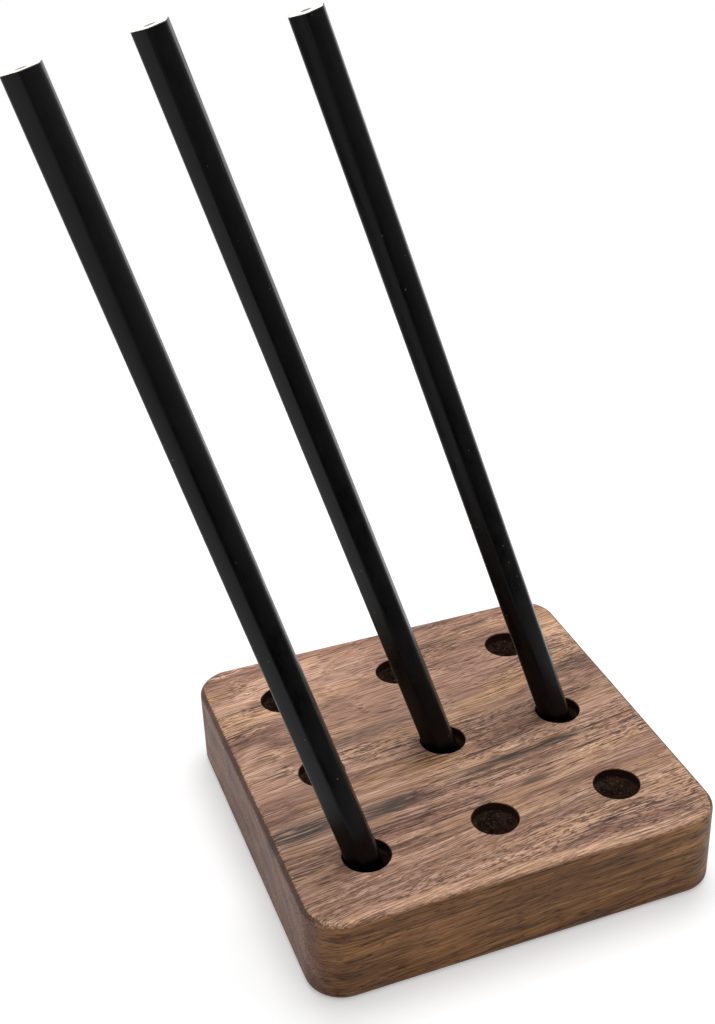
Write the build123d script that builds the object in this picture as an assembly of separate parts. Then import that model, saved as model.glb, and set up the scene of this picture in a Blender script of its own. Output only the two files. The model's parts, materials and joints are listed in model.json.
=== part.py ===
from build123d import *
import math
import os

# Pen stand: a solid walnut block with a grid of blind holes, and the three loose wooden
# pencils that stand in it. Millimetres. +Z is up, +X runs along the front edge from left
# to right, -Y is the front face, and the origin is the middle of the underside.

# The block, a square board with rounded corners and eased edges
block_side = 95.0
block_height = 21.0
corner_radius = 8.4
top_edge_radius = 1.7
bottom_edge_radius = 1.8

# The grid of blind holes drilled straight down from the top
holes_per_side = 3
hole_pitch = 29.7
hole_diameter = 10.5
hole_depth = 9.1

# The pencils: unsharpened hexagons made of two grooved slats glued round a core
pencil_length = 178.0
pencil_across_flats = 7.1
pencil_corner_radius = 1.0
core_diameter = 2.2
core_glue_gap = 0.03
seat_clearance = 0.06

# Where each pencil stands: the column and row of its hole, counted from the front left,
# the direction that it leans to, in degrees from +X, and its turn about its own axis
pencils = {
    "left_pencil": (0, 0, 149.0, 138.0),
    "centre_pencil": (1, 1, 156.0, 124.0),
    "right_pencil": (2, 1, 156.0, 125.0),
}


def hole_centre(column, row):
    """Middle of a hole's mouth, on the top face."""
    middle = (holes_per_side - 1) / 2
    return Vector((column - middle) * hole_pitch, (row - middle) * hole_pitch, block_height)


def walnut_block():
    """The square board: rounded corners, eased edges and the drilled holes."""
    block = extrude(RectangleRounded(block_side, block_side, corner_radius), block_height)
    block = fillet(block.faces().sort_by(Axis.Z)[-1].edges(), top_edge_radius)
    block = fillet(block.faces().sort_by(Axis.Z)[0].edges(), bottom_edge_radius)
    drill = Cylinder(hole_diameter / 2, hole_depth, align=(Align.CENTER, Align.CENTER, Align.MAX))
    grid = GridLocations(hole_pitch, hole_pitch, holes_per_side, holes_per_side)
    return block - [Pos(0, 0, block_height) * spot * drill for spot in grid]


def pencil_slat():
    """Half of a pencil's casing, split through two opposite corners, with its core groove.

    It stands on the XY plane, with the pencil's axis on Z and its middle flat facing +X.
    """
    hexagon = RegularPolygon(pencil_across_flats / 2, 6, major_radius=False, rotation=30)
    section = fillet(hexagon.vertices(), pencil_corner_radius)
    half = Rectangle(
        pencil_across_flats, 2 * pencil_across_flats, align=(Align.MIN, Align.CENTER)
    )
    groove = Circle(core_diameter / 2 + core_glue_gap)
    return extrude((section & half) - groove, pencil_length)


def pencil_core():
    """The fired graphite rod, as long as the casing."""
    return Cylinder(
        core_diameter / 2, pencil_length, align=(Align.CENTER, Align.CENTER, Align.MIN)
    )


def seat_width():
    """Width that a pencil takes up across its hole: over its rounded corners, with clearance."""
    corner_centre = (pencil_across_flats / 2 - pencil_corner_radius) / math.cos(math.radians(30))
    return 2 * (corner_centre + pencil_corner_radius + seat_clearance)


def seat_lean():
    """Lean from upright, in radians, at which a pencil comes to rest in its hole.

    Its foot stands on the floor with one edge against the wall, and its side lies on the rim
    opposite, so the hole is as wide as the tilted foot plus the shift up to the mouth.
    """
    low, high = 0.0, math.radians(60)
    for _ in range(60):
        lean = (low + high) / 2
        reach = seat_width() * math.cos(lean) + hole_depth * math.tan(lean)
        low, high = (lean, high) if reach < hole_diameter else (low, lean)
    return low


def pencil_seat(column, row, direction, turn):
    """Where a seated pencil's foot is: Z up along the pencil, X square to its middle flat."""
    lean = seat_lean()
    sideways = Vector(1, 0, 0).rotate(Axis.Z, direction)
    along = sideways * math.sin(lean) + Vector(0, 0, math.cos(lean))
    across = sideways * math.cos(lean) - Vector(0, 0, math.sin(lean))
    half = seat_width() / 2
    foot = hole_centre(column, row) - Vector(0, 0, hole_depth)
    foot += sideways * (half * math.cos(lean) - hole_diameter / 2)
    foot += Vector(0, 0, half * math.sin(lean)) + along * seat_clearance
    return Plane(foot, x_dir=across, z_dir=along).location * Rot(0, 0, turn)


pieces = {"block": walnut_block()}
for name, place in pencils.items():
    seat = pencil_seat(*place)
    pieces[f"{name}_front_slat"] = seat * pencil_slat()
    pieces[f"{name}_back_slat"] = seat * Rot(0, 0, 180) * pencil_slat()
    pieces[f"{name}_core"] = seat * pencil_core()
    print(name, "foot", tuple(seat.position), "lifts out along", tuple(Plane(seat).z_dir))

os.makedirs("parts", exist_ok=True)
for name, piece in pieces.items():
    export_step(piece, f"parts/{name}.step")
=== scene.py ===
import json
import math

import bmesh
import bpy
from mathutils import Matrix, Vector


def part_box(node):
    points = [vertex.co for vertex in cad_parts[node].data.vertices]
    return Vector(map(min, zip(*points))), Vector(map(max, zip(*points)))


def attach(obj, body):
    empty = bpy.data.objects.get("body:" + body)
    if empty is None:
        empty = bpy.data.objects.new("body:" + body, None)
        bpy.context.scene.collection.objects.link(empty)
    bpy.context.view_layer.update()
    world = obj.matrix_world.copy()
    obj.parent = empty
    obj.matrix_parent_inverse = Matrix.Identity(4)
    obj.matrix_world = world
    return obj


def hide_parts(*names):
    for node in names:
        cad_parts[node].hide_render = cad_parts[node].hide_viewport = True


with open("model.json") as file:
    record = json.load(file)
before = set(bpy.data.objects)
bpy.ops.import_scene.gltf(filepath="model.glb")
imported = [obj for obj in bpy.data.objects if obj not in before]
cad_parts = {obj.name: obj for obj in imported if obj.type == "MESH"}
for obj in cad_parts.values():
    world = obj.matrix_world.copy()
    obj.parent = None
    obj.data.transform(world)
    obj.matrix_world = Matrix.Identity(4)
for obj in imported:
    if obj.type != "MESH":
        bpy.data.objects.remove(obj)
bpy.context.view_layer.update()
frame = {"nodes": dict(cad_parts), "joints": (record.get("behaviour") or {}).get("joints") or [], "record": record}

# The block: one square of walnut, planed and sanded, its corners and edges rounded over with a
# router and the whole oiled. Nine blind holes go straight down into the top face, three by
# three, and the drill has scorched them dark.
MM = 0.001
block_low, block_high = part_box("block")
top, underside = block_high.z, block_low.z
drilled = next(m for m in frame["record"]["mounts"] if m["name"] == "back_right_hole")
hole_pitch = drilled["pos_m"][0]
hole_radius = drilled["dims"]["r_mm"] * MM
hole_depth = drilled["dims"]["length_mm"] * MM
corner_radius = 8.4 * MM
top_edge_radius = 1.7 * MM
bottom_edge_radius = 1.8 * MM
mouth_ease = 0.25 * MM
weld_reach = 0.001 * MM
corner_steps, edge_steps, mouth_steps, hole_steps = 14, 7, 3, 64
sharp_angle = math.radians(40)


def round_edges(shape, edges, radius, steps):
    """Rounds edges over, as a router or sandpaper does."""
    bmesh.ops.bevel(shape, geom=edges, offset=radius, offset_type="OFFSET", segments=steps,
                    profile=0.5, affect="EDGES", material=-1)


def drill(shape, x, y):
    """Spins the half profile of a blind hole about its axis: eased mouth, wall and flat floor."""
    profile = []
    for step in range(mouth_steps + 1):
        turn = step / mouth_steps * math.pi / 2
        reach = hole_radius + mouth_ease * (1 - math.sin(turn))
        profile.append((x + reach, y, top - mouth_ease * (1 - math.cos(turn))))
    floor = top - hole_depth
    profile += [(x + hole_radius, y, floor), (x, y, floor)]
    points = [shape.verts.new(place) for place in profile]
    lines = [shape.edges.new(pair) for pair in zip(points, points[1:])]
    bmesh.ops.spin(shape, geom=points + lines, cent=(x, y, top), axis=(0, 0, 1),
                   angle=2 * math.pi, steps=hole_steps, use_merge=True)


def make_piece(name, shape, materials, flat=True):
    """Turns a closed shape into an object at the origin, its faces outwards and smooth.

    A flat piece also gets normals weighted by area, so its large faces don't look pillowed.
    """
    bmesh.ops.recalc_face_normals(shape, faces=shape.faces)
    for face in shape.faces:
        face.smooth = True
    for edge in shape.edges:
        edge.smooth = edge.calc_face_angle(0) < sharp_angle
    mesh = bpy.data.meshes.new(name)
    shape.to_mesh(mesh)
    shape.free()
    for material in materials:
        mesh.materials.append(material)
    piece = bpy.data.objects.new(name, mesh)
    bpy.context.scene.collection.objects.link(piece)
    if flat:
        shading = piece.modifiers.new("flat_faces_stay_flat", "WEIGHTED_NORMAL")
        shading.keep_sharp = True
    return piece


def linear(hex_colour):
    """A hex sRGB colour as linear red, green, blue and alpha."""
    channels = [int(hex_colour[place:place + 2], 16) / 255 for place in (1, 3, 5)]
    return [c / 12.92 if c <= 0.04045 else ((c + 0.055) / 1.055) ** 2.4 for c in channels] + [1]


def start_material(name):
    """A new material and its node tree, still empty."""
    material = bpy.data.materials.new(name)
    material.use_nodes = True
    material.node_tree.nodes.clear()
    return material, material.node_tree


def add(tree, kind, inputs, out=None, **settings):
    """Adds a shader node and gives one of its outputs. An input is a value or an output."""
    node = tree.nodes.new("ShaderNode" + kind)
    for name, value in settings.items():
        setattr(node, name, value)
    for name, value in inputs.items():
        socket = next(s for s in node.inputs if name in (s.identifier, s.name))
        if isinstance(value, bpy.types.NodeSocket):
            tree.links.new(value, socket)
        else:
            socket.default_value = value
    return next((s for s in node.outputs if out in (None, s.identifier, s.name)), None)


# Oiled black walnut, cut along the grain and sanded. The eye gets warm brown layers that run
# with the grain, fine fibres, short dark pores, one smoky mineral streak and a soft sheen.
# The pattern is solid, so the ends show the same growth layers and pores cut across.
walnut, wood = start_material("oiled_walnut")
in_colour = {"out": "Result_Color", "data_type": "RGBA"}  # for a mix of two colours
softly = {"interpolation_type": "SMOOTHSTEP"}  # for a range with soft ends
to_mm = (1 / MM, 1 / MM, 1 / MM)
grain_slant = math.radians(7)
spot = add(wood, "TexCoord", {}, out="Object")
place = add(wood, "Mapping", {"Vector": spot, "Rotation": (0, 0, -grain_slant), "Scale": to_mm})
place_parts = add(wood, "SeparateXYZ", {"Vector": place}).node.outputs

# The fibres wander along the whole board, and curl in small waves that grow towards its back.
# Each has the length, width and depth of a wave, and how far it moves a fibre, in millimetres.
wander_size, wander_reach = (70, 24, 24), (0, 6, 6)
curl_size, curl_reach_in_front, curl_reach_at_back = (12, 8, 8), 0.6, 2.4
wander = add(wood, "VectorMath", {"Vector": place, "Vector_001": [1 / s for s in wander_size]},
             operation="MULTIPLY")
wander = add(wood, "TexNoise", {"Vector": wander, "Scale": 1, "Detail": 2}, out="Color")
curl = add(wood, "VectorMath", {"Vector": place, "Vector_001": [1 / s for s in curl_size]},
           operation="MULTIPLY")
curl = add(wood, "TexNoise", {"Vector": curl, "Scale": 1, "Detail": 1}, out="Color")
curl_reach = add(wood, "MapRange", {"Value": place_parts["Y"], "From Min": -10, "From Max": 35,
                                    "To Min": curl_reach_in_front, "To Max": curl_reach_at_back})
curl_reach = add(wood, "CombineXYZ", {"Y": curl_reach, "Z": curl_reach})
fibre = add(wood, "VectorMath", {"Vector": wander, "Vector_001": wander_reach, "Vector_002": place},
            operation="MULTIPLY_ADD")
fibre = add(wood, "VectorMath", {"Vector": curl, "Vector_001": curl_reach, "Vector_002": fibre},
            operation="MULTIPLY_ADD")
along_grain = add(wood, "SeparateXYZ", {"Vector": fibre}, out="X")

# On the sides the fibres lie straighter, and on the front they rise a little to the right
side_slant = math.radians(4)
side_wander_reach, side_curl_reach = (0, 2.5, 2.5), (0, 1, 1)
straight = add(wood, "Mapping", {"Vector": spot, "Rotation": (0, side_slant, 0), "Scale": to_mm})
straight = add(wood, "VectorMath", {"Vector": wander, "Vector_001": side_wander_reach,
                                    "Vector_002": straight}, operation="MULTIPLY_ADD")
straight = add(wood, "VectorMath", {"Vector": curl, "Vector_001": side_curl_reach,
                                    "Vector_002": straight}, operation="MULTIPLY_ADD")

# Each pattern is noise drawn out along the fibres: its length, width and depth in millimetres.
# A hair is a bundle of fibres, because one fibre by itself is too fine to show.
grain = {}
for pattern, course, size, detail in (
        ("zones", fibre, (55, 9, 9), 2), ("lines", fibre, (24, 0.38, 0.38), 2),
        ("hairs", fibre, (14, 0.27, 0.27), 2), ("long_pores", fibre, (6, 0.3, 0.3), 1),
        ("short_pores", fibre, (1.9, 0.32, 0.32), 1), ("wisps", fibre, (12, 0.5, 0.5), 3),
        ("smoke", fibre, (40, 4, 4), 3), ("plies", straight, (32, 9, 4), 3),
        ("side_lines", straight, (30, 6, 1.2), 2), ("side_hairs", straight, (6, 4, 0.24), 2),
        ("side_pores", straight, (3, 2, 0.32), 1)):
    drawn_out = add(wood, "VectorMath", {"Vector": course, "Vector_001": [1 / s for s in size]},
                    operation="MULTIPLY")
    noise = add(wood, "TexNoise", {"Vector": drawn_out, "Scale": 1, "Detail": detail})
    grain[pattern] = noise.node.outputs
zones = add(wood, "SeparateXYZ", {"Vector": grain["zones"]["Color"]}).node.outputs

# Growth layers round the pith, wavering along the board, with broader dusky and tan zones
pith = (0, 26, -62)
layer_spacing, layer_length = 2.6, 130
from_pith = add(wood, "VectorMath", {"Vector": fibre, "Vector_001": (0, 1, 1),
                                     "Vector_002": [-c for c in pith]}, operation="MULTIPLY_ADD")
growth = add(wood, "VectorMath", {"Vector": from_pith}, out="Value", operation="LENGTH")
layer_along = add(wood, "Math", {"Value": along_grain, "Value_001": 1 / layer_length},
                  operation="MULTIPLY")
layer_out = add(wood, "Math", {"Value": growth, "Value_001": 1 / layer_spacing}, operation="MULTIPLY")
layers = add(wood, "CombineXYZ", {"X": layer_along, "Y": layer_out})
layers = add(wood, "TexNoise", {"Vector": layers, "Scale": 1, "Detail": 4, "Roughness": 0.65}, out="Fac")
layers = add(wood, "MapRange", {"Value": layers, "From Min": 0.34, "From Max": 0.68}, **softly)
dusky = add(wood, "MapRange", {"Value": zones["X"], "From Min": 0.5, "From Max": 0.74,
                               "To Max": 0.36}, **softly)
tan = add(wood, "MapRange", {"Value": zones["Y"], "From Min": 0.45, "From Max": 0.65,
                             "To Max": 0.5}, **softly)
colour = add(wood, "Mix", {"Factor_Float": layers, "A_Color": linear("#c89e85"),
                           "B_Color": linear("#815a4a")}, **in_colour)
colour = add(wood, "Mix", {"Factor_Float": tan, "A_Color": colour,
                           "B_Color": linear("#cda077")}, **in_colour)
colour = add(wood, "Mix", {"Factor_Float": dusky, "A_Color": colour,
                           "B_Color": linear("#6e5146")}, **in_colour)

# The sides are more even in colour than the top. The front edge of the top is paler over a few
# millimetres, partly sanded paler and partly a painted highlight. The cut ends drink more oil
# and go dark, most of all along their top edge.
sanded_highlight_from, sanded_highlight_to = block_low.y + 3.8 * MM, block_low.y + 1.6 * MM
facing = add(wood, "TexCoord", {}, out="Normal")
facing = add(wood, "SeparateXYZ", {"Vector": facing}).node.outputs
sideways = add(wood, "Math", {"Value": facing["Y"]}, operation="ABSOLUTE")
on_edge = add(wood, "MapRange", {"Value": sideways, "From Min": 0.35, "From Max": 0.8}, **softly)
not_up = add(wood, "MapRange", {"Value": facing["Z"], "From Min": 0.66, "From Max": 0.2}, **softly)
on_edge = add(wood, "Math", {"Value": on_edge, "Value_001": not_up}, operation="MULTIPLY")
evened = add(wood, "Math", {"Value": on_edge, "Value_001": 0.6}, operation="MULTIPLY")
colour = add(wood, "Mix", {"Factor_Float": evened, "A_Color": colour,
                           "B_Color": linear("#a37d67")}, **in_colour)
front_to_back = add(wood, "SeparateXYZ", {"Vector": spot}, out="Y")
# The paler front edge: partly sanded wood, partly a painted highlight on the round-over
sanded_and_highlight = add(wood, "MapRange", {"Value": front_to_back, "From Min": sanded_highlight_from,
                                "From Max": sanded_highlight_to}, **softly)
upwards = add(wood, "MapRange", {"Value": facing["Z"], "From Min": 0.4, "From Max": 0.9,
                                 "To Max": 0.85}, **softly)
sanded_and_highlight = add(wood, "Math", {"Value": sanded_and_highlight, "Value_001": upwards}, operation="MULTIPLY")
colour = add(wood, "Mix", {"Factor_Float": sanded_and_highlight, "A_Color": colour,
                           "B_Color": linear("#cda182")}, **in_colour)
endways = add(wood, "Math", {"Value": facing["X"]}, operation="ABSOLUTE")
cut_end = add(wood, "MapRange", {"Value": endways, "From Min": 0.6, "From Max": 0.95}, **softly)
colour = add(wood, "Mix", {"Factor_Float": cut_end, "A_Color": colour,
                           "B_Color": linear("#b9a8a8")}, **in_colour, blend_type="MULTIPLY")
end_edge = add(wood, "Math", {"Value": endways, "Value_001": facing["Z"]}, operation="MULTIPLY")
end_edge = add(wood, "MapRange", {"Value": end_edge, "From Min": 0.32, "From Max": 0.45,
                                  "To Max": 0.85}, **softly)
colour = add(wood, "Mix", {"Factor_Float": end_edge, "A_Color": colour,
                           "B_Color": linear("#3c2a21")}, **in_colour)

# Fine hairs, pale and dark, that show less on the cut ends, and painted light that makes the wood paler towards
# the back
hairs = add(wood, "Mix", {"Factor_Float": on_edge, "A_Float": grain["hairs"]["Fac"],
                          "B_Float": grain["side_hairs"]["Fac"]}, out="Result_Float")
worn = add(wood, "Math", {"Value": cut_end, "Value_001": 0.5}, operation="MULTIPLY")
hairs = add(wood, "Mix", {"Factor_Float": worn, "A_Float": hairs, "B_Float": 0.5}, out="Result_Float")
hair_shade = add(wood, "MapRange", {"Value": hairs, "From Min": 0.3, "From Max": 0.7,
                                    "To Min": 1.44, "To Max": 0.58})
# Painted light: the wood is lightened towards the back, where the lamp behind lights it more
painted_back_light = add(wood, "MapRange", {"Value": place_parts["Y"], "From Min": 5, "From Max": 40,
                               "To Min": 1, "To Max": 1.24})
hair_shade = add(wood, "Math", {"Value": hair_shade, "Value_001": painted_back_light}, operation="MULTIPLY")
hair_warmth = add(wood, "MapRange", {"Value": hairs, "From Min": 0.3, "From Max": 0.7,
                                     "To Min": 0.85, "To Max": 1.15})
colour = add(wood, "HueSaturation", {"Color": colour, "Value": hair_shade, "Saturation": hair_warmth})

# Darker lines, broken up by the zones on the top and drawn as contours on the sides
lined = add(wood, "MapRange", {"Value": zones["Z"], "From Min": 0.38, "From Max": 0.6,
                               "To Min": 0.4, "To Max": 1})
lined = add(wood, "Mix", {"Factor_Float": on_edge, "A_Float": lined, "B_Float": 0.75},
            out="Result_Float")
lines = add(wood, "MapRange", {"Value": grain["lines"]["Fac"], "From Min": 0.51, "From Max": 0.63})
side_lines = add(wood, "Math", {"Value": grain["side_lines"]["Fac"], "Value_001": 0.5},
                 operation="SUBTRACT")
side_lines = add(wood, "Math", {"Value": side_lines}, operation="ABSOLUTE")
side_lines = add(wood, "MapRange", {"Value": side_lines, "From Min": 0.05, "From Max": 0.005})
lines = add(wood, "Mix", {"Factor_Float": on_edge, "A_Float": lines, "B_Float": side_lines},
            out="Result_Float")
lines = add(wood, "Math", {"Value": lines, "Value_001": lined}, operation="MULTIPLY")
colour = add(wood, "Mix", {"Factor_Float": lines, "A_Color": colour,
                           "B_Color": linear("#4a3227")}, **in_colour)

# Long pores all over, and short ones that crowd in some zones and near the front of the top.
# Most of them are filled along the front edge, where it is sanded paler and a highlight is painted.
long_pores = add(wood, "Mix", {"Factor_Float": on_edge, "A_Float": grain["long_pores"]["Fac"],
                               "B_Float": grain["side_pores"]["Fac"]}, out="Result_Float")
long_pores = add(wood, "MapRange", {"Value": long_pores, "From Min": 0.6, "From Max": 0.68}, **softly)
short_pores = add(wood, "MapRange", {"Value": grain["short_pores"]["Fac"], "From Min": 0.53,
                                     "From Max": 0.61}, **softly)
crowded = add(wood, "MapRange", {"Value": zones["Z"], "From Min": 0.46, "From Max": 0.62})
in_front = add(wood, "MapRange", {"Value": place_parts["Y"], "From Min": -22, "From Max": -40})
crowded = add(wood, "Math", {"Value": crowded, "Value_001": in_front}, operation="MAXIMUM")
crowded = add(wood, "Math", {"Value": crowded, "Value_001": on_edge}, operation="SUBTRACT",
              use_clamp=True)
short_pores = add(wood, "Math", {"Value": short_pores, "Value_001": crowded}, operation="MULTIPLY")
pores = add(wood, "Math", {"Value": long_pores, "Value_001": short_pores}, operation="MAXIMUM")
filled = add(wood, "Math", {"Value": sanded_and_highlight, "Value_001": 0.7}, operation="MULTIPLY")
pores = add(wood, "Math", {"Value": pores, "Value_001": filled}, operation="SUBTRACT", use_clamp=True)
pore_shade = add(wood, "Math", {"Value": pores, "Value_001": 0.75}, operation="MULTIPLY")
colour = add(wood, "Mix", {"Factor_Float": pore_shade, "A_Color": colour,
                           "B_Color": linear("#3a261c")}, **in_colour)

# Golden plies tint the whole of the sides, pores too, and painted shade deepens them towards the underside
plies = add(wood, "MapRange", {"Value": grain["plies"]["Fac"], "From Min": 0.34, "From Max": 0.66})
# Painted shade: the sides darken towards the underside, near the floor
painted_low_shade = add(wood, "MapRange", {"Value": place_parts["Z"], "From Min": 18, "From Max": 0, "To Max": 0.4})
plies = add(wood, "Math", {"Value": plies, "Value_001": painted_low_shade}, operation="ADD")
plies = add(wood, "Mix", {"Factor_Float": plies, "A_Color": linear("#f0dca8"),
                          "B_Color": linear("#ae9669")}, **in_colour)
colour = add(wood, "Mix", {"Factor_Float": on_edge, "A_Color": colour, "B_Color": plies},
             **in_colour, blend_type="MULTIPLY")

# The smoky streak is a row of smudges near the top, with a few more by themselves. Each has its
# middle, along and across the grain, half its length and width in millimetres, and its strength.
smudges = ((-38.5, -11.3, 22, 4.5, 1), (-17.4, -13.3, 17, 3.4, 0.9), (18, -12.2, 26, 2.0, 1),
           (16, -21.5, 6, 1.2, 0.7), (47, 11.5, 11, 2.4, 0.8), (26, 43.8, 9, 1.2, 0.8),
           (-8, 12.5, 18, 2.6, 0.45), (-30, 19.0, 16, 1.6, 0.4))
smudge_depth = 5
smear_reach = (8, 2.4, 0)
smoke = add(wood, "MapRange", {"Value": grain["smoke"]["Fac"], "From Min": 0.62, "From Max": 0.78,
                               "To Max": 0.35}, **softly)
smeared = add(wood, "VectorMath", {"Vector": grain["wisps"]["Color"], "Vector_001": smear_reach,
                                   "Vector_002": place}, operation="MULTIPLY_ADD")
for along, across, half_length, half_width, strength in smudges:
    half_sizes = (half_length, half_width, smudge_depth)
    smudge = add(wood, "VectorMath", {"Vector": smeared, "Vector_001": (-along, -across, -top / MM)},
                 operation="ADD")
    smudge = add(wood, "VectorMath", {"Vector": smudge, "Vector_001": [1 / s for s in half_sizes]},
                 operation="MULTIPLY")
    smudge = add(wood, "VectorMath", {"Vector": smudge}, out="Value", operation="LENGTH")
    smudge = add(wood, "MapRange", {"Value": smudge, "From Min": 1, "From Max": 0.35,
                                    "To Max": strength}, **softly)
    smoke = add(wood, "Math", {"Value": smoke, "Value_001": smudge}, operation="MAXIMUM")
wisps = add(wood, "MapRange", {"Value": grain["wisps"]["Fac"], "From Min": 0.36, "From Max": 0.58,
                               "To Min": 0.35, "To Max": 1}, **softly)
smoke = add(wood, "Math", {"Value": smoke, "Value_001": wisps}, operation="MULTIPLY")
colour = add(wood, "Mix", {"Factor_Float": smoke, "A_Color": colour,
                           "B_Color": linear("#3a2e29")}, **in_colour)

# Dark hairs and pores lie a little sunk, and the pores are duller than the oiled wood round them
pore_depth = 0.1 * MM
roughness = add(wood, "MapRange", {"Value": pores, "To Min": 0.5, "To Max": 0.7})
relief = add(wood, "Math", {"Value": hairs, "Value_001": 0.6, "Value_002": pores},
             operation="MULTIPLY_ADD")
bump = add(wood, "Bump", {"Height": relief, "Strength": 0.35, "Distance": pore_depth}, invert=True)
oiled = add(wood, "BsdfPrincipled", {"Base Color": colour, "Roughness": roughness, "IOR": 1.5,
                                     "Specular IOR Level": 0.25, "Normal": bump})
add(wood, "OutputMaterial", {"Surface": oiled})

# Scorched walnut inside the holes, where the turning bit burnt the wood. The eye gets a reddish
# black band of painted shade below the mouth and, further down, torn brown fibres with pale
# flecks of painted light and faint rings.
scorched, burnt = start_material("scorched_walnut")
ring_width, tear_width, light_fleck_width = 0.5 * MM, 1.2 * MM, 0.5 * MM
shade_fades_from, shade_fades_to = top - 0.9 * MM, top - 1.6 * MM
shade_raggedness = 2.4 * MM
tear_depth = 0.25 * MM
half_pitch = hole_pitch / 2
in_hole = add(burnt, "TexCoord", {}, out="Object")
around_hole = add(burnt, "VectorMath", {"Vector": in_hole, "Vector_001": (half_pitch, half_pitch, 1),
                                        "Vector_002": (-half_pitch, -half_pitch, -1)},
                  operation="WRAP")
from_axis = add(burnt, "VectorMath", {"Vector": around_hole, "Vector_001": (1, 1, 0)},
                operation="MULTIPLY")
from_axis = add(burnt, "VectorMath", {"Vector": from_axis}, out="Value", operation="LENGTH")
height = add(burnt, "SeparateXYZ", {"Vector": in_hole}, out="Z")
rings = add(burnt, "CombineXYZ", {"X": from_axis, "Y": height})
rings = add(burnt, "TexNoise", {"Vector": rings, "Scale": 1 / ring_width, "Detail": 2}, out="Fac")
torn = add(burnt, "TexNoise", {"Vector": in_hole, "Scale": 1 / tear_width, "Detail": 4}, out="Fac")
mottled = add(burnt, "MapRange", {"Value": torn, "From Min": 0.35, "From Max": 0.65})
char = add(burnt, "Mix", {"Factor_Float": mottled, "A_Color": linear("#32231b"),
                          "B_Color": linear("#705544")}, **in_colour)
# Painted light: pale specks where the light catches the torn fibres
painted_light_flecks = add(burnt, "TexNoise", {"Vector": in_hole, "Scale": 1 / light_fleck_width, "Detail": 1}, out="Fac")
painted_light_flecks = add(burnt, "MapRange", {"Value": painted_light_flecks, "From Min": 0.64, "From Max": 0.72, "To Max": 0.8})
char = add(burnt, "Mix", {"Factor_Float": painted_light_flecks, "A_Color": char,
                          "B_Color": linear("#b0a090")}, **in_colour)
# Painted shade: a ragged reddish-black band round the wall just below the mouth
ragged = add(burnt, "Math", {"Value": torn, "Value_001": shade_raggedness, "Value_002": height},
             operation="MULTIPLY_ADD")
painted_wall_shade = add(burnt, "MapRange", {"Value": ragged, "From Min": shade_fades_to,
                               "From Max": shade_fades_from}, **softly)
char = add(burnt, "Mix", {"Factor_Float": painted_wall_shade, "A_Color": char,
                          "B_Color": linear("#220b07")}, **in_colour)
torn = add(burnt, "Math", {"Value": rings, "Value_001": 0.25, "Value_002": torn},
           operation="MULTIPLY_ADD")
rough_cut = add(burnt, "Bump", {"Height": torn, "Strength": 0.5, "Distance": tear_depth})
charred = add(burnt, "BsdfPrincipled", {"Base Color": char, "Roughness": 0.7, "IOR": 1.5,
                                        "Specular IOR Level": 0.25, "Normal": rough_cut})
add(burnt, "OutputMaterial", {"Surface": charred})

board = bmesh.new()
bmesh.ops.create_grid(board, x_segments=1, y_segments=1, size=block_high.x,
                      matrix=Matrix.Translation((0, 0, underside)))
bmesh.ops.bevel(board, geom=board.verts[:], offset=corner_radius, offset_type="OFFSET",
                segments=corner_steps, profile=0.5, affect="VERTICES", material=-1)
bottom_edges = board.edges[:]
raised = bmesh.ops.extrude_face_region(board, geom=board.faces[:], use_keep_orig=True)["geom"]
top_edges = [part for part in raised if isinstance(part, bmesh.types.BMEdge)]
bmesh.ops.translate(board, vec=(0, 0, top - underside),
                    verts=[part for part in raised if isinstance(part, bmesh.types.BMVert)])
round_edges(board, top_edges, top_edge_radius, edge_steps)
round_edges(board, bottom_edges, bottom_edge_radius, edge_steps)
flat_top = max(board.faces, key=lambda face: face.calc_center_median().z)
bmesh.ops.delete(board, geom=[flat_top], context="FACES_ONLY")
outside = set(board.faces)
for column in (-1, 0, 1):
    for row in (-1, 0, 1):
        drill(board, column * hole_pitch, row * hole_pitch)
bmesh.ops.remove_doubles(board, verts=board.verts, dist=weld_reach)
for face in board.faces:
    cut_by_drill = face not in outside and face.calc_center_median().z < top - mouth_ease
    face.material_index = 1 if cut_by_drill else 0
bmesh.ops.triangle_fill(board, use_beauty=True, normal=(0, 0, 1),
                        edges=[edge for edge in board.edges if edge.is_boundary])
block = make_piece("walnut_block", board, [walnut, scorched])
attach(block, "stand")
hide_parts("block")

# The pencils: each is two slats of pale basswood, grooved, glued round the graphite and then
# planed to a hexagon, dipped in black lacquer and sawn to length. They stand loose in holes.
pencil_corner_radius = 1.0 * MM
sawn_edge_ease = 0.12 * MM
core_edge_ease = 0.15 * MM
pencil_corner_steps, groove_steps, ease_steps = 3, 32, 1

# How near a point or a face has to be to count as on the split, in the groove, on the rim or
# square to the axis, and how far the finish moves on from one pencil to the next, in millimetres
split_slack, split_face_reach = 0.0001 * MM, 0.01 * MM
groove_slack, rim_share = 1.01, 0.9
facing_end = math.cos(math.radians(20))
pattern_shift = 500


def node_points(node):
    """The vertices of a CAD node, in the frame that everything shares."""
    return [vertex.co.copy() for vertex in frame["nodes"][node].data.vertices]


def middle(points):
    """The mean of some points."""
    return sum(points, Vector()) / len(points)


def pencil_coordinates(shape, shift):
    """Keeps every point's place across and along its pencil, in millimetres, for the finish."""
    layer = shape.verts.layers.float_vector.new("pencil")
    for vertex in shape.verts:
        vertex[layer] = vertex.co / MM + shift


def extrude_up(shape, length):
    """Extrudes a flat section along the pencil."""
    grown = bmesh.ops.extrude_face_region(shape, geom=shape.faces[:], use_keep_orig=True)["geom"]
    bmesh.ops.translate(shape, vec=(0, 0, length),
                        verts=[part for part in grown if isinstance(part, bmesh.types.BMVert)])
    bmesh.ops.recalc_face_normals(shape, faces=shape.faces)


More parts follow.
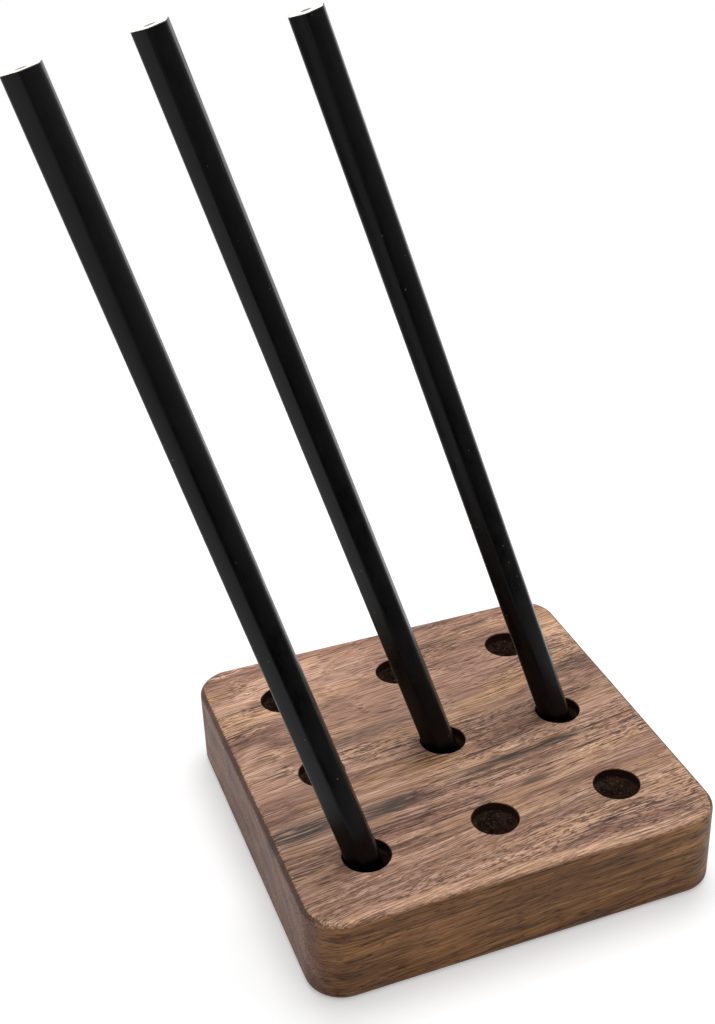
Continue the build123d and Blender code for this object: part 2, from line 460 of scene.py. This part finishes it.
def sawn_edges(shape, reach):
    """The edges of the two sawn ends whose points lie further than reach from the axis."""
    ends = {face for face in shape.faces if abs(face.normal.z) > facing_end}
    return [edge for edge in shape.edges if sum(face in ends for face in edge.link_faces) == 1
            and all(vertex.co.xy.length > reach for vertex in edge.verts)]


def make_slat(half_width, groove_radius, length):
    """Half of a casing: half a rounded hexagon with a groove, extruded, its sawn edges eased."""
    slat = bmesh.new()
    to_corner = half_width / math.cos(math.pi / 6)
    bmesh.ops.create_circle(slat, segments=6, radius=to_corner)
    bmesh.ops.bevel(slat, geom=slat.verts[:], offset=pencil_corner_radius * math.tan(math.pi / 6),
                    offset_type="OFFSET", segments=pencil_corner_steps, profile=0.5,
                    affect="VERTICES", material=-1)
    bmesh.ops.create_circle(slat, segments=groove_steps, radius=groove_radius)
    bmesh.ops.bisect_plane(slat, geom=slat.verts[:] + slat.edges[:], plane_co=(0, 0, 0),
                           plane_no=(-1, 0, 0), dist=split_slack, clear_outer=True)
    ends = sorted((v for v in slat.verts if len(v.link_edges) == 1), key=lambda v: v.co.y)
    slat.edges.new(ends[:2])
    slat.edges.new(ends[2:])
    bmesh.ops.contextual_create(slat, geom=slat.edges[:])
    extrude_up(slat, length)
    round_edges(slat, sawn_edges(slat, rim_share * half_width), sawn_edge_ease, ease_steps)
    bmesh.ops.recalc_face_normals(slat, faces=slat.faces)
    for face in slat.faces:
        sawn_end = abs(face.normal.z) > facing_end
        split_face = face.calc_center_median().x < split_face_reach
        in_groove = all(vertex.co.xy.length < groove_slack * groove_radius for vertex in face.verts)
        face.material_index = 1 if sawn_end or split_face or in_groove else 0
    return slat


def make_core(radius, length):
    """The graphite rod: a disc extruded as long as the casing, with its ends eased."""
    rod = bmesh.new()
    bmesh.ops.create_circle(rod, cap_ends=True, segments=groove_steps, radius=radius)
    extrude_up(rod, length)
    round_edges(rod, sawn_edges(rod, rim_share * radius), core_edge_ease, ease_steps)
    return rod


# Satin black lacquer, dipped in several coats. The eye gets a soft black with a faint plum
# cast, fibres of the slat showing through as fine lines along the pencil, and specks of dust.
lacquer, coat = start_material("satin_black_lacquer")
cloud_size, fibre_size = (2.5, 2.5, 7), (0.4, 0.4, 14)
dust_spacing = 3.5
ripple_depth = 0.03 * MM
coat_place = add(coat, "Attribute", {}, out="Vector", attribute_name="pencil")
clouds = add(coat, "VectorMath", {"Vector": coat_place, "Vector_001": [1 / s for s in cloud_size]},
             operation="MULTIPLY")
clouds = add(coat, "TexNoise", {"Vector": clouds, "Scale": 1, "Detail": 5, "Roughness": 0.65}, out="Fac")
clouds = add(coat, "MapRange", {"Value": clouds, "From Min": 0.35, "From Max": 0.65})
black = add(coat, "Mix", {"Factor_Float": clouds, "A_Color": linear("#010101"),
                          "B_Color": linear("#09070a")}, **in_colour)
dust = add(coat, "TexVoronoi", {"Vector": coat_place, "Scale": 1 / dust_spacing}, out="Distance")
dust = add(coat, "MapRange", {"Value": dust, "From Min": 0.03, "From Max": 0.065, "To Min": 0.4,
                              "To Max": 0})
black = add(coat, "Mix", {"Factor_Float": dust, "A_Color": black,
                          "B_Color": linear("#8d8a87")}, **in_colour)
fibres = add(coat, "VectorMath", {"Vector": coat_place, "Vector_001": [1 / s for s in fibre_size]},
             operation="MULTIPLY")
fibres = add(coat, "TexNoise", {"Vector": fibres, "Scale": 1, "Detail": 2}, out="Fac")
sheen = add(coat, "MapRange", {"Value": clouds, "To Min": 0.25, "To Max": 0.38})
ripple = add(coat, "Bump", {"Height": fibres, "Strength": 0.3, "Distance": ripple_depth})
dipped = add(coat, "BsdfPrincipled", {"Base Color": black, "Roughness": sheen, "IOR": 1.45,
                                      "Specular IOR Level": 0.22, "Normal": ripple})
add(coat, "OutputMaterial", {"Surface": dipped})

# Raw basswood at the sawn ends and inside the casing. The eye gets a wood that is nearly white,
# with faint growth bands, the torn dots of cut fibres and the hairline where the slats are glued.
basswood, bare = start_material("sawn_basswood")
band_size, cut_fibre_size = (0.9, 5, 90), (0.2, 0.2, 8)
glue_reach, glue_fades_to = 0.03, 0.09
saw_depth = 0.05 * MM
bare_place = add(bare, "Attribute", {}, out="Vector", attribute_name="pencil")
bands = add(bare, "VectorMath", {"Vector": bare_place, "Vector_001": [1 / s for s in band_size]},
            operation="MULTIPLY")
bands = add(bare, "TexNoise", {"Vector": bands, "Scale": 1, "Detail": 2}, out="Fac")
bands = add(bare, "MapRange", {"Value": bands, "From Min": 0.35, "From Max": 0.65})
pale = add(bare, "Mix", {"Factor_Float": bands, "A_Color": linear("#fdfbf6"),
                         "B_Color": linear("#f4ecdc")}, **in_colour)
cut_fibres = add(bare, "VectorMath", {"Vector": bare_place,
                                      "Vector_001": [1 / s for s in cut_fibre_size]},
                 operation="MULTIPLY")
cut_fibres = add(bare, "TexNoise", {"Vector": cut_fibres, "Scale": 1, "Detail": 1}, out="Fac")
dots = add(bare, "MapRange", {"Value": cut_fibres, "From Min": 0.58, "From Max": 0.7, "To Max": 0.4})
pale = add(bare, "Mix", {"Factor_Float": dots, "A_Color": pale,
                         "B_Color": linear("#b3966b")}, **in_colour)
glue = add(bare, "SeparateXYZ", {"Vector": bare_place}, out="X")
glue = add(bare, "Math", {"Value": glue}, operation="ABSOLUTE")
glue = add(bare, "MapRange", {"Value": glue, "From Min": glue_reach, "From Max": glue_fades_to,
                              "To Min": 0.6, "To Max": 0})
pale = add(bare, "Mix", {"Factor_Float": glue, "A_Color": pale,
                         "B_Color": linear("#a98a5c")}, **in_colour)
saw_cut = add(bare, "Bump", {"Height": cut_fibres, "Strength": 0.3, "Distance": saw_depth})
sawn = add(bare, "BsdfPrincipled", {"Base Color": pale, "Roughness": 0.75, "IOR": 1.5,
                                    "Normal": saw_cut})
add(bare, "OutputMaterial", {"Surface": sawn})

# Fired graphite and clay, sawn through with the casing. The eye gets a dark grey with a dull
# metallic gleam, smeared in places by the saw and grainy in others.
graphite, lead = start_material("fired_graphite")
grain_width = 0.25
grain_depth = 0.03 * MM
lead_place = add(lead, "Attribute", {}, out="Vector", attribute_name="pencil")
grains = add(lead, "TexNoise", {"Vector": lead_place, "Scale": 1 / grain_width, "Detail": 3}, out="Fac")
grains = add(lead, "MapRange", {"Value": grains, "From Min": 0.35, "From Max": 0.65})
grey = add(lead, "Mix", {"Factor_Float": grains, "A_Color": linear("#2a2a2d"),
                         "B_Color": linear("#45454a")}, **in_colour)
smear = add(lead, "MapRange", {"Value": grains, "To Min": 0.3, "To Max": 0.55})
grainy = add(lead, "Bump", {"Height": grains, "Strength": 0.3, "Distance": grain_depth})
fired = add(lead, "BsdfPrincipled", {"Base Color": grey, "Roughness": smear, "IOR": 2.0,
                                     "Normal": grainy})
add(lead, "OutputMaterial", {"Surface": fired})

for number, joint in enumerate(frame["joints"]):
    pencil = joint["child"]
    axis = Vector(joint["axis"]).normalized()
    core_points = node_points(pencil + "_core")
    slat_points = node_points(pencil + "_front_slat")
    centre = middle(core_points)
    heights = [(point - centre).dot(axis) for point in core_points]
    length = max(heights) - min(heights)
    foot = centre + axis * min(heights)
    towards = middle(slat_points) - centre
    towards = (towards - axis * towards.dot(axis)).normalized()
    half_width = max((point - foot).dot(towards) for point in slat_points)
    core_radius = max((point - foot).cross(axis).length for point in core_points)
    groove_radius = min((point - foot).cross(axis).length for point in slat_points)
    seat = Matrix((towards, axis.cross(towards), axis)).transposed().to_4x4()
    seat.translation = foot
    rod = make_core(core_radius, length)
    front, back = (make_slat(half_width, groove_radius, length) for _ in range(2))
    bmesh.ops.rotate(back, matrix=Matrix.Rotation(math.pi, 3, "Z"), verts=back.verts)
    for part, shape, materials, slot in (("front_slat", front, [lacquer, basswood], "black_lacquer"),
                                         ("back_slat", back, [lacquer, basswood], "black_lacquer"),
                                         ("core", rod, [graphite], "graphite")):
        pencil_coordinates(shape, Vector((0, 0, pattern_shift * number)))
        bmesh.ops.transform(shape, matrix=seat, verts=shape.verts)
        piece = make_piece(f"{pencil}_{part}_finished", shape, materials, flat=False)
        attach(piece, pencil)
        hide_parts(f"{pencil}_{part}")

# The studio: a floor of pale paper that runs out to white all round, a black card and two large
# soft lamps out of view, and the camera at the height of a seated viewer.
floor_radius, floor_gap, floor_steps = 320 * MM, 0.02 * MM, 96
floor_glow = 0.36


def lay_sheet(name, shape, material):
    """Lays a flat sheet in the studio."""
    laid = bpy.data.objects.new(name, bpy.data.meshes.new(name))
    shape.to_mesh(laid.data)
    shape.free()
    laid.data.materials.append(material)
    bpy.context.scene.collection.objects.link(laid)
    return laid


# Matt paper. It glows a little to the eye and in what mirrors it, and still takes the shadow.
paper, sheet = start_material("pale_paper")
rays = sheet.nodes.new("ShaderNodeLightPath")
seen = add(sheet, "Math", {"Value": rays.outputs["Is Camera Ray"],
                           "Value_001": rays.outputs["Is Glossy Ray"]}, operation="MAXIMUM")
seen = add(sheet, "Math", {"Value": seen, "Value_001": rays.outputs["Is Transmission Ray"]},
           operation="MAXIMUM")
glow = add(sheet, "Math", {"Value": seen, "Value_001": floor_glow}, operation="MULTIPLY")
glow = add(sheet, "Emission", {"Color": linear("#ffffff"), "Strength": glow})
matt = add(sheet, "BsdfDiffuse", {"Color": linear("#e6e6e6")})
lit_paper = add(sheet, "AddShader", {"Shader": matt, "Shader_001": glow})
add(sheet, "OutputMaterial", {"Surface": lit_paper})
floor_shape = bmesh.new()
bmesh.ops.create_circle(floor_shape, cap_ends=True, segments=floor_steps, radius=floor_radius,
                        matrix=Matrix.Translation((0, 0, underside - floor_gap)))
floor = lay_sheet("floor", floor_shape, paper)

# The black card lies in front, where the pencils and the front face mirror it. It gives no shade.
card_middle = (50 * MM, -330 * MM, underside + 1 * MM)
card_half_width, card_half_depth = 380 * MM, 230 * MM
card_black = bpy.data.materials.new("black_card")
card_black.use_nodes = True
card_black.node_tree.nodes["Principled BSDF"].inputs["Base Color"].default_value = linear("#0a0a0a")
card_shape = bmesh.new()
bmesh.ops.create_grid(card_shape, x_segments=1, y_segments=1, size=1,
                      matrix=Matrix.Translation(card_middle)
                      @ Matrix.Diagonal((card_half_width, card_half_depth, 1, 1)))
card = lay_sheet("black_card", card_shape, card_black)
card.visible_camera = card.visible_diffuse = card.visible_shadow = False

# The room is white to the eye and in what mirrors it, apart from its front, which mirrors dim.
# As a light it is dim all round.
room_light = 0.27
room_front = (0.2, -0.98, 0)
world = bpy.data.worlds.new("studio")
world.use_nodes = True
room = world.node_tree
room.nodes.clear()
rays = room.nodes.new("ShaderNodeLightPath")
direction = add(room, "TexCoord", {}, out="Generated")
toward_front = add(room, "VectorMath", {"Vector": direction, "Vector_001": room_front}, out="Value",
                   operation="DOT_PRODUCT")
sweep = add(room, "MapRange", {"Value": toward_front, "From Min": 0.6, "From Max": 1, "To Min": 1,
                               "To Max": 0.03}, **softly)
mirrored = add(room, "Math", {"Value": rays.outputs["Is Glossy Ray"],
                              "Value_001": rays.outputs["Is Transmission Ray"]}, operation="MAXIMUM")
mirrored = add(room, "Math", {"Value": mirrored, "Value_001": sweep}, operation="MULTIPLY")
white = add(room, "Math", {"Value": mirrored, "Value_001": rays.outputs["Is Camera Ray"]},
            operation="MAXIMUM")
level = add(room, "MapRange", {"Value": white, "To Min": room_light, "To Max": 1})
walls = add(room, "Background", {"Color": linear("#ffffff"), "Strength": level})
add(room, "OutputWorld", {"Surface": walls})
bpy.context.scene.world = world


def hang_lamp(name, place, width, power):
    """A square soft lamp that faces the block."""
    lamp = bpy.data.lights.new(name, "AREA")
    lamp.shape = "SQUARE"
    lamp.size = width
    lamp.energy = power
    lamp_object = bpy.data.objects.new(name, lamp)
    lamp_object.location = place
    lamp_object.rotation_euler = (-Vector(place)).to_track_quat("-Z", "Y").to_euler()
    bpy.context.scene.collection.objects.link(lamp_object)


# One lamp hangs above and behind on the right, and a weaker one high in front
hang_lamp("key_lamp", place=(0.10, 0.22, 0.80), width=0.6, power=5.0)
hang_lamp("front_lamp", place=(0.0, -0.35, 0.80), width=0.5, power=1.4)

# The camera looks down at the block from the front left
camera_place = (-0.10596, -0.25902, 0.24043)
turned_right, tipped_down, rolled = 21.685, 29.663, 0.804
camera = bpy.data.cameras.new("camera")
camera.lens = 53.10
camera.shift_x = -0.0687
camera.shift_y = 0.0035
camera_object = bpy.data.objects.new("camera", camera)
camera_object.matrix_world = (
    Matrix.Translation(camera_place)
    @ Matrix.Rotation(math.radians(-turned_right), 4, "Z")
    @ Matrix.Rotation(math.radians(90 - tipped_down), 4, "X")
    @ Matrix.Rotation(math.radians(-rolled), 4, "Z")
)
bpy.context.scene.collection.objects.link(camera_object)
bpy.context.scene.camera = camera_object
bpy.context.scene.view_settings.view_transform = "Standard"
